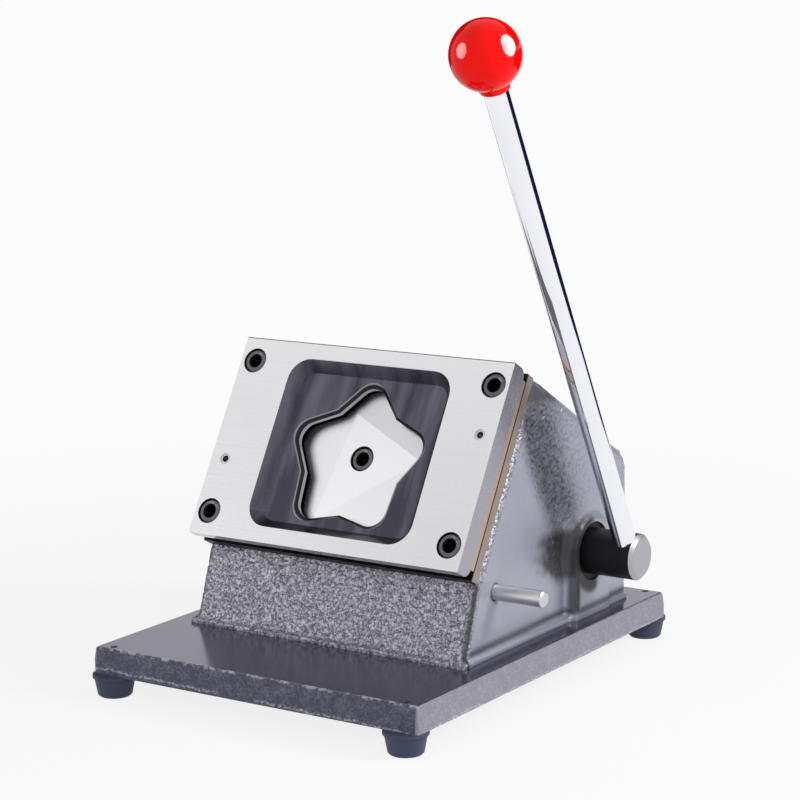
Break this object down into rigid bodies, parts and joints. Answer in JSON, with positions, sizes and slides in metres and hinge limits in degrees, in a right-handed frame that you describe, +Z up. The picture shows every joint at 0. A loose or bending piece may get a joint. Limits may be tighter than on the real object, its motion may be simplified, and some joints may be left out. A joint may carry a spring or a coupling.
{
  "type": "lever die cutter",
  "caption": "Desk die cutter: cast body on a footed base plate, sloped die plate with a star opening, and a side lever whose cam drives a ram and punch across a card slot.",
  "frame": {"origin": "under the middle of the base plate, on the plane that the feet stand on", "axes": "X to the right of a user in front of the machine, where the lever is; Y to the rear; Z up"},
  "size_m": [0.2295, 0.267, 0.3476],
  "materials": {
    "hammered_paint": "hammered",
    "base_paint": "semi-gloss",
    "ground_steel": "ground",
    "tool_steel": "satin",
    "plain_steel": "satin",
    "dark_steel": "black oxide",
    "spacer_brass": "satin",
    "bush_bronze": "satin",
    "lever_chrome": "polished",
    "knob_plastic": "gloss",
    "foot_rubber": "matte"
  },
  "bodies": {
    "frame": {"base_plate": "base_paint", "foot_front_left": "foot_rubber", "foot_front_right": "foot_rubber", "foot_rear_left": "foot_rubber", "foot_rear_right": "foot_rubber", "foot_washers": "plain_steel", "foot_screws": "plain_steel", "body_casting": "hammered_paint", "body_bolts": "dark_steel", "guide_plate": "tool_steel", "spacer_left": "spacer_brass", "spacer_right": "spacer_brass", "die_plate": "ground_steel", "die_screws": "plain_steel", "dowel_pins": "plain_steel", "bush_left": "bush_bronze", "bush_right": "bush_bronze", "stop_pin": "plain_steel", "return_springs": "plain_steel"},
    "lever": {"drive_shaft": "dark_steel", "cam": "tool_steel", "cam_key": "plain_steel", "sleeve_left": "plain_steel", "sleeve_right": "plain_steel", "lever_rod": "lever_chrome", "ball_knob": "knob_plastic"},
    "ram": {"ram": "tool_steel", "wear_pad": "tool_steel", "punch": "ground_steel", "punch_screw": "dark_steel", "punch_dowels": "plain_steel"}
  },
  "joints": [
    {"name": "lever_swing", "type": "hinge", "parent": "frame", "child": "lever", "pos_m": [0, 0.0647, 0.0605], "axis": [1, 0, 0], "range_deg": [0, 56.65], "stiffness_Nm_per_rad": 3.3, "springref_deg": -13.46},
    {"name": "ram_slide", "type": "slide", "parent": "frame", "child": "ram", "axis": [0, -0.866, 0.5], "range_m": [0, 0.00845], "deforming": ["return_springs"]}
  ],
  "couplings": [
    {"joint": "ram_slide", "follows": "lever_swing", "m_per_rad": 0.0085}
  ]
}
